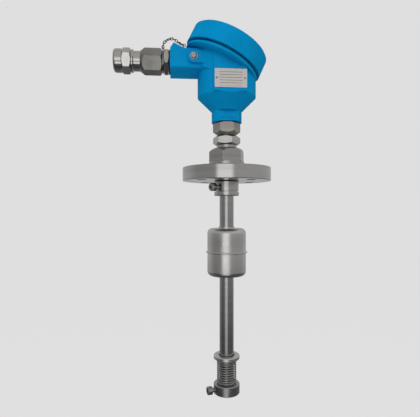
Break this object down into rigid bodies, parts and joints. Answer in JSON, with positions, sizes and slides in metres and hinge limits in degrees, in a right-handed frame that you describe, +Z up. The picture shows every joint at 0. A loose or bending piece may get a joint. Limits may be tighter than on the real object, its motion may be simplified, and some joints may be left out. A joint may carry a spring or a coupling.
{
  "type": "float switch",
  "caption": "Flange-mounted level switch: a magnetic float slides between stop collars on a vertical tube below a screwed-cover connection head with a side cable gland.",
  "frame": {"origin": "centre of the flange's lower face, on the tube's axis", "axes": "+Z up along the tube towards the connection head, the cable gland points along -X, the plate faces -Y"},
  "size_m": [0.1764, 0.1, 0.4155],
  "materials": {
    "flange_steel": "turned stainless steel",
    "stem_steel": "polished stainless tube",
    "board": "matt board",
    "reed_glass": "clear glass",
    "lead_sleeve": "matt sleeve",
    "fitting_steel": "machined stainless steel",
    "ferrule_steel": "machined stainless steel",
    "nut_steel": "machined stainless steel",
    "head_paint": "satin powder coat",
    "cover_paint": "satin powder coat",
    "seal_rubber": "matt rubber",
    "terminal_moulding": "matt moulding",
    "clamp_brass": "plated brass",
    "screw_steel": "plated steel",
    "earth_brass": "bare brass",
    "washer_steel": "plated steel",
    "plate_metal": "satin aluminium",
    "rivet_metal": "satin aluminium",
    "washer_rubber": "matt rubber",
    "gland_steel": "plated steel",
    "bush_rubber": "matt rubber",
    "ring_plastic": "matt ring",
    "chain_steel": "plated steel wire",
    "collar_steel": "turned stainless steel",
    "bolt_steel": "stainless steel",
    "float_steel": "pressed stainless steel",
    "magnet_grey": "sintered",
    "spring_steel": "stainless wire"
  },
  "bodies": {
    "switch": {"flange": "flange_steel", "stem_tube": "stem_steel", "stem_plug": "stem_steel", "reed_board": "board", "reed_switches": "reed_glass", "reed_leads": "lead_sleeve", "fitting_body": "fitting_steel", "ferrule": "ferrule_steel", "clamp_nut": "nut_steel", "head_adaptor": "nut_steel", "head_housing": "head_paint", "terminal_block": "terminal_moulding", "terminal_clamps": "clamp_brass", "terminal_screws": "screw_steel", "block_screws": "screw_steel", "inner_earth_screw": "earth_brass", "earth_screw": "screw_steel", "earth_washer": "washer_steel", "name_plate": "plate_metal", "plate_rivets": "rivet_metal", "gland_washer": "washer_rubber", "gland_locknut": "gland_steel", "gland_body": "gland_steel", "gland_bush": "bush_rubber", "chain_tab": "chain_steel", "retaining_chain": "chain_steel", "chain_eye": "chain_steel", "upper_collar": "collar_steel", "upper_collar_bolt": "bolt_steel", "lower_collar": "collar_steel", "lower_collar_bolt": "bolt_steel", "buffer_spring": "spring_steel"},
    "cover_seal_ring": {"cover_seal": "seal_rubber"},
    "cover": {"cover": "cover_paint"},
    "gland_ring": {"gland_ring": "ring_plastic"},
    "gland_nut": {"gland_nut": "gland_steel"},
    "float": {"float_upper_shell": "float_steel", "float_lower_shell": "float_steel", "float_tube": "float_steel", "float_magnet": "magnet_grey"},
    "buffer": {"buffer_washer": "collar_steel"}
  },
  "joints": [
    {"name": "float_slide", "type": "slide", "parent": "switch", "child": "float", "axis": [0, 0, 1], "range_m": [-0.0878, 0.0348]},
    {"name": "buffer_slide", "type": "slide", "parent": "switch", "child": "buffer", "axis": [0, 0, 1], "range_m": [-0.012, 0], "stiffness_N_per_m": 500, "deforming": ["buffer_spring"]},
    {"name": "cover_lift", "type": "slide", "parent": "switch", "child": "cover_seal_ring", "axis": [0.4305, 0, 0.9026], "range_m": [0, 0.009]},
    {"name": "cover_turn", "type": "hinge", "parent": "cover_seal_ring", "child": "cover", "pos_m": [-0.005, 0, 0.1352], "axis": [0.4305, 0, 0.9026], "range_deg": [0, 2100]},
    {"name": "gland_ring_slide", "type": "slide", "parent": "switch", "child": "gland_ring", "axis": [-1, 0, 0], "range_m": [0, 0.0062]},
    {"name": "gland_nut_turn", "type": "hinge", "parent": "gland_ring", "child": "gland_nut", "pos_m": [-0.11, 0, 0.1334], "axis": [-1, 0, 0], "range_deg": [0, 1440]}
  ],
  "couplings": [
    {"joint": "cover_lift", "follows": "cover_turn", "m_per_rad": 0.00023873},
    {"joint": "gland_ring_slide", "follows": "gland_nut_turn", "m_per_rad": 0.00023873}
  ]
}
